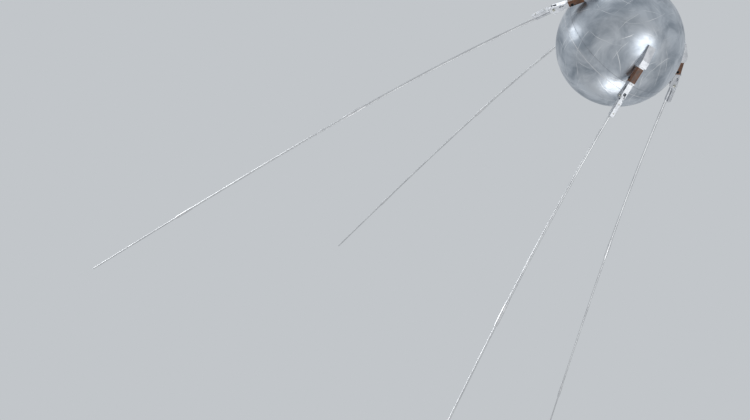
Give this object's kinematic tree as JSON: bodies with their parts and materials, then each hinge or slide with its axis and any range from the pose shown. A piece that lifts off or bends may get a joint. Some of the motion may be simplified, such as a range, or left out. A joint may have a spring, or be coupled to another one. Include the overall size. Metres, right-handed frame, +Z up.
{
  "type": "satellite",
  "caption": "Polished ball-shaped satellite with long, slightly drooping whip antennas that swing on sprung hinges and trail to the rear.",
  "frame": {"origin": "centre of the ball, where the satellite is held", "axes": "+X the nose, +Y left, +Z up; the antennas trail to -X, one each above, below, left and right"},
  "size_m": [3.1196, 3.1046, 3.063],
  "materials": {
    "casing": "polished",
    "shield": "polished",
    "sealed_block": "matte",
    "bracket": "satin",
    "insulator": "satin",
    "clevis": "satin",
    "pin": "satin",
    "swivel": "satin",
    "tube": "satin",
    "ferrule": "polished"
  },
  "bodies": {
    "hull": {"front_casing": "casing", "rear_casing": "casing", "heat_shield": "shield", "battery_block": "sealed_block", "bracket_top": "bracket", "insulator_top": "insulator", "clevis_top": "clevis", "hinge_pin_top": "pin", "bracket_right": "bracket", "insulator_right": "insulator", "clevis_right": "clevis", "hinge_pin_right": "pin", "bracket_bottom": "bracket", "insulator_bottom": "insulator", "clevis_bottom": "clevis", "hinge_pin_bottom": "pin", "bracket_left": "bracket", "insulator_left": "insulator", "clevis_left": "clevis", "hinge_pin_left": "pin"},
    "antenna_top": {"swivel_top": "swivel", "base_tube_top": "tube", "middle_tube_top": "tube", "tip_tube_top": "tube", "ferrules_top": "ferrule"},
    "antenna_right": {"swivel_right": "swivel", "base_tube_right": "tube", "middle_tube_right": "tube", "tip_tube_right": "tube", "ferrules_right": "ferrule"},
    "antenna_bottom": {"swivel_bottom": "swivel", "base_tube_bottom": "tube", "middle_tube_bottom": "tube", "tip_tube_bottom": "tube", "ferrules_bottom": "ferrule"},
    "antenna_left": {"swivel_left": "swivel", "base_tube_left": "tube", "middle_tube_left": "tube", "tip_tube_left": "tube", "ferrules_left": "ferrule"}
  },
  "joints": [
    {"name": "top_hinge", "type": "hinge", "parent": "hull", "child": "antenna_top", "pos_m": [-0.026, 0, 0.365], "axis": [0, 1, 0], "range_deg": [-2.6, 17.4], "stiffness_Nm_per_rad": 68, "springref_deg": 9.8},
    {"name": "right_hinge", "type": "hinge", "parent": "hull", "child": "antenna_right", "pos_m": [-0.026, -0.365, 0], "axis": [0, 0, 1], "range_deg": [-10.2, 9.8], "stiffness_Nm_per_rad": 68},
    {"name": "bottom_hinge", "type": "hinge", "parent": "hull", "child": "antenna_bottom", "pos_m": [-0.026, 0, -0.365], "axis": [0, -1, 0], "range_deg": [-19.7, 0.3], "stiffness_Nm_per_rad": 68, "springref_deg": -7.67},
    {"name": "left_hinge", "type": "hinge", "parent": "hull", "child": "antenna_left", "pos_m": [-0.026, 0.365, 0], "axis": [0, 0, -1], "range_deg": [-10.2, 9.8], "stiffness_Nm_per_rad": 68}
  ]
}
